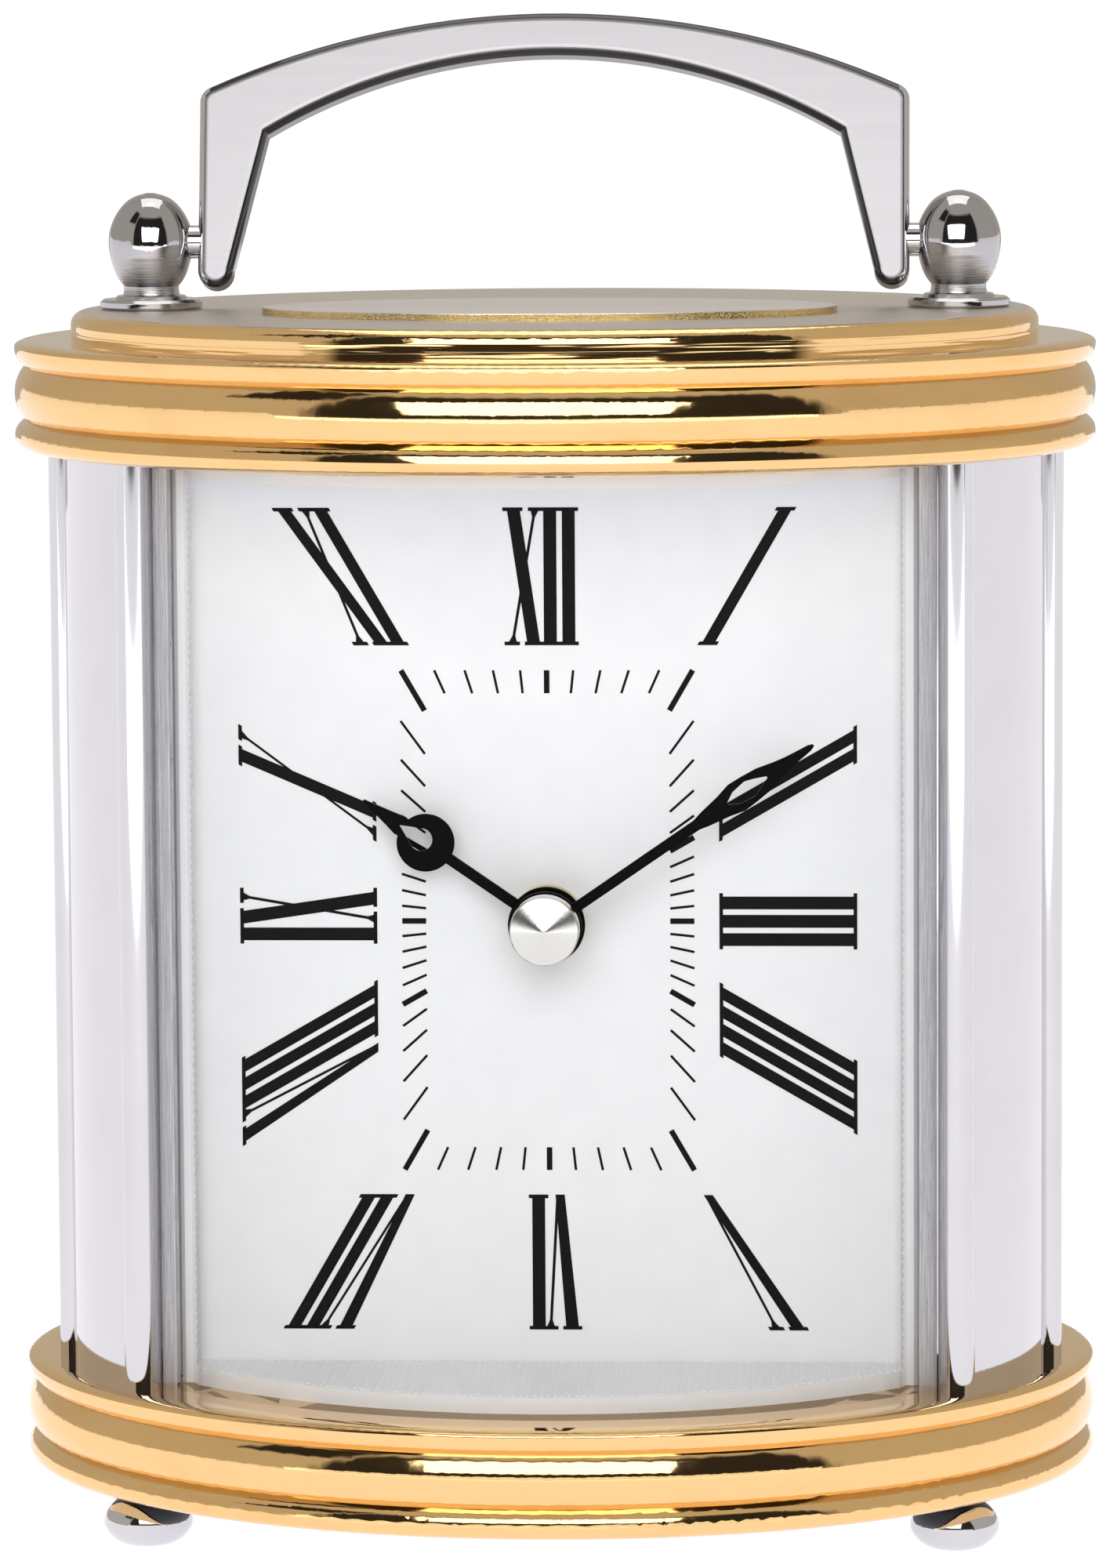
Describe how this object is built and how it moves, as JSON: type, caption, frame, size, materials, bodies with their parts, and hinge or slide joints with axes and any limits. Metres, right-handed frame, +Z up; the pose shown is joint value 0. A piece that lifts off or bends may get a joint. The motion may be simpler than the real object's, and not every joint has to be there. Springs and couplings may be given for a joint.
{
  "type": "mantel clock",
  "caption": "Oval mantel clock with beaded gold base and cap, chrome ribbed sides, bowed clear front, Roman dial, ball finials and a swinging arched handle.",
  "frame": {"origin": "centre of the footprint, on the surface that the feet stand on", "axes": "+Z up, front and dial towards -Y, +X to the viewer's right"},
  "size_m": [0.114, 0.094, 0.1588],
  "materials": {
    "gold": "polished gold plate",
    "gold_satin": "satin gold plate",
    "chrome": "polished",
    "silver_satin": "satin",
    "clear_acrylic": "clear",
    "white_plastic": "frosted white",
    "dial_white": "smooth white with printed numerals",
    "black_plastic": "matt black",
    "black_paint": "satin black",
    "steel": "plain",
    "brass": "turned",
    "white_gear": "moulded",
    "board_green": "lacquered",
    "copper_wire": "wound",
    "cell_wrap": "printed wrap, no words"
  },
  "bodies": {
    "case": {"base_moulding": "gold", "cap_moulding": "gold", "cap_tier": "gold_satin", "plaque": "silver_satin", "bottom_plate": "black_plastic", "foot_front_left": "chrome", "foot_front_right": "chrome", "foot_rear_left": "chrome", "foot_rear_right": "chrome", "case_screws_lower": "steel", "case_screws_upper": "steel", "side_left": "chrome", "side_right": "chrome", "rear_shell": "chrome", "hinge_pins": "steel", "window": "clear_acrylic", "dial_surround": "white_plastic", "dial": "dial_white", "finial_left": "chrome", "finial_right": "chrome", "finial_nuts": "steel", "movement_case": "black_plastic", "movement_lid": "black_plastic", "circuit_board": "board_green", "drive_coil": "copper_wire", "battery": "cell_wrap", "contact_positive": "steel", "contact_negative": "steel", "bush_nut": "brass"},
    "minute_set": {"minute_arbor": "brass", "minute_hand": "black_paint", "cone_nut": "silver_satin"},
    "hour_set": {"hour_wheel": "white_gear", "hour_hand": "black_paint"},
    "intermediate_wheel": {"minute_wheel": "white_gear"},
    "setting": {"setting_knob": "white_gear"},
    "carrying_handle": {"handle": "chrome"},
    "back_door": {"rear_door": "chrome", "door_pull": "gold"}
  },
  "joints": [
    {"name": "minute_turn", "type": "hinge", "parent": "case", "child": "minute_set", "pos_m": [0, -0.02, 0.0654], "axis": [0, 1, 0], "continuous": true},
    {"name": "hour_turn", "type": "hinge", "parent": "case", "child": "hour_set", "pos_m": [0, -0.02, 0.0654], "axis": [0, 1, 0], "continuous": true},
    {"name": "intermediate_turn", "type": "hinge", "parent": "case", "child": "intermediate_wheel", "pos_m": [0.00509, -0.014, 0.07049], "axis": [0, 1, 0], "continuous": true},
    {"name": "setting_turn", "type": "hinge", "parent": "case", "child": "setting", "pos_m": [0.01018, -0.005, 0.07558], "axis": [0, 1, 0], "continuous": true},
    {"name": "handle_swing", "type": "hinge", "parent": "case", "child": "carrying_handle", "pos_m": [0, 0, 0.1351], "axis": [1, 0, 0], "range_deg": [-84, 112]},
    {"name": "door_swing", "type": "hinge", "parent": "case", "child": "back_door", "pos_m": [-0.02257, 0.0375, 0.0654], "axis": [0, 0, 1], "range_deg": [0, 160]}
  ],
  "couplings": [
    {"joint": "hour_turn", "follows": "minute_turn", "ratio": 0.083333},
    {"joint": "intermediate_turn", "follows": "minute_turn", "ratio": -0.33333},
    {"joint": "setting_turn", "follows": "minute_turn", "ratio": 1}
  ]
}
